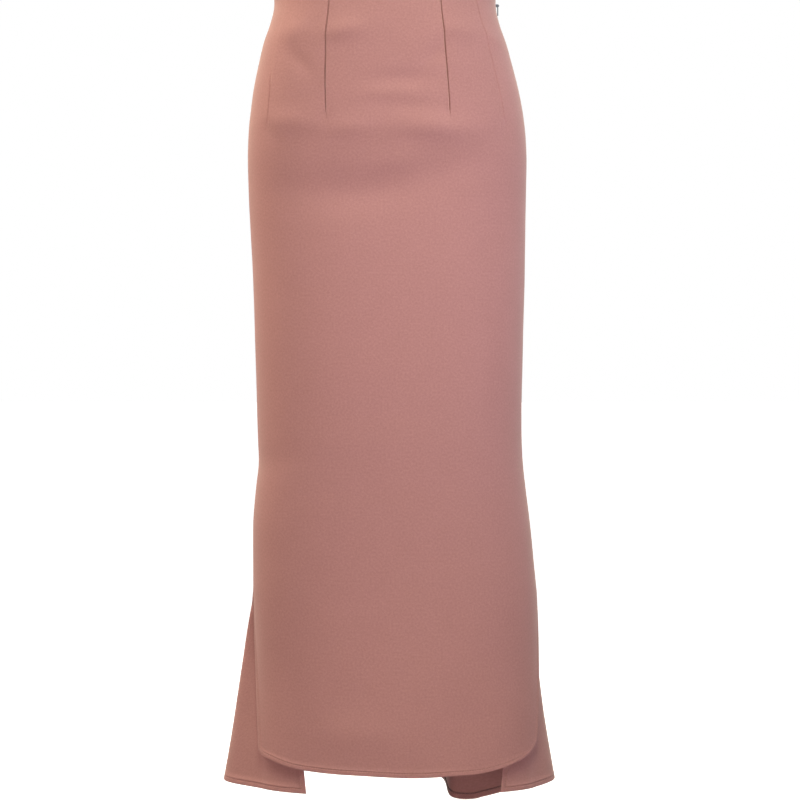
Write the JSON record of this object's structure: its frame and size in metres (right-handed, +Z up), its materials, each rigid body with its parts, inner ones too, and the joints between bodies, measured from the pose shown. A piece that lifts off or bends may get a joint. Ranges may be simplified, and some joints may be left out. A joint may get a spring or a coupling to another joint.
{
  "type": "mermaid fishtail skirt",
  "caption": "Long narrow crepe skirt with darts, a shirt-tail front over side slits, a flared fishtail back and a concealed side zip, worn and hollow.",
  "frame": {"origin": "middle of the open waist edge, in its plane", "axes": "+Z up along the wearer, -Y towards the front, +X towards the wearer's left"},
  "size_m": [0.4031, 0.3636, 1.0037],
  "materials": {
    "crepe": "heavy matte crepe, dusty rose, fine pebbled grain",
    "zip_tape": "woven polyester zip tape, dyed to match",
    "zip_metal": "dark grey lacquered zinc"
  },
  "bodies": {
    "skirt": {"front_panel": "crepe", "back_left": "crepe", "back_right": "crepe", "zip_tape_front": "zip_tape", "zip_tape_back": "zip_tape", "zip_slider": "zip_metal"},
    "pull_tab": {"zip_pull": "zip_metal"}
  },
  "joints": [
    {"name": "zip_pull_swing", "type": "hinge", "parent": "skirt", "child": "pull_tab", "pos_m": [0.1365, 0, -0.0192], "axis": [0, -1, 0], "range_deg": [0, 150]}
  ]
}
